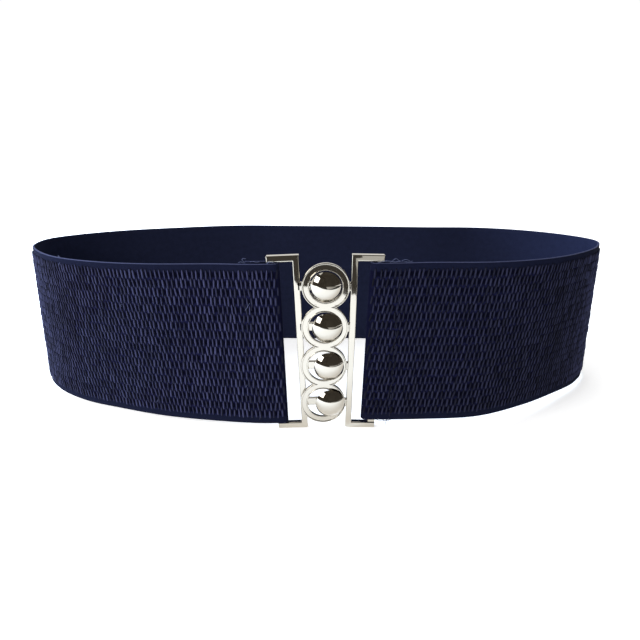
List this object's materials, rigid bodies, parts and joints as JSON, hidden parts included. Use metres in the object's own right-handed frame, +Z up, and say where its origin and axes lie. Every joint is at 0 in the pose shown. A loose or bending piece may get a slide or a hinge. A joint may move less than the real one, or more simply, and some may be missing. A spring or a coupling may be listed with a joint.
{
  "type": "elastic stretch belt",
  "caption": "Wide dark navy elastic stretch belt, a closed loop standing on its edge, fastened at the front by a polished clasp of domed studs held in a column of rings.",
  "frame": {"origin": "middle of the belt's footprint, on the surface it stands on", "axes": "+X to the wearer's left across the clasp (right in the picture), -Y out of the front of the clasp, +Z up through the loop"},
  "size_m": [0.3028, 0.1212, 0.0814],
  "materials": {
    "elastic": "matt ribbed weave",
    "polished_metal": "bright polished plating"
  },
  "bodies": {
    "root": {"elastic_band": "elastic", "stud_half": "polished_metal", "ring_half": "polished_metal"}
  },
  "joints": []
}
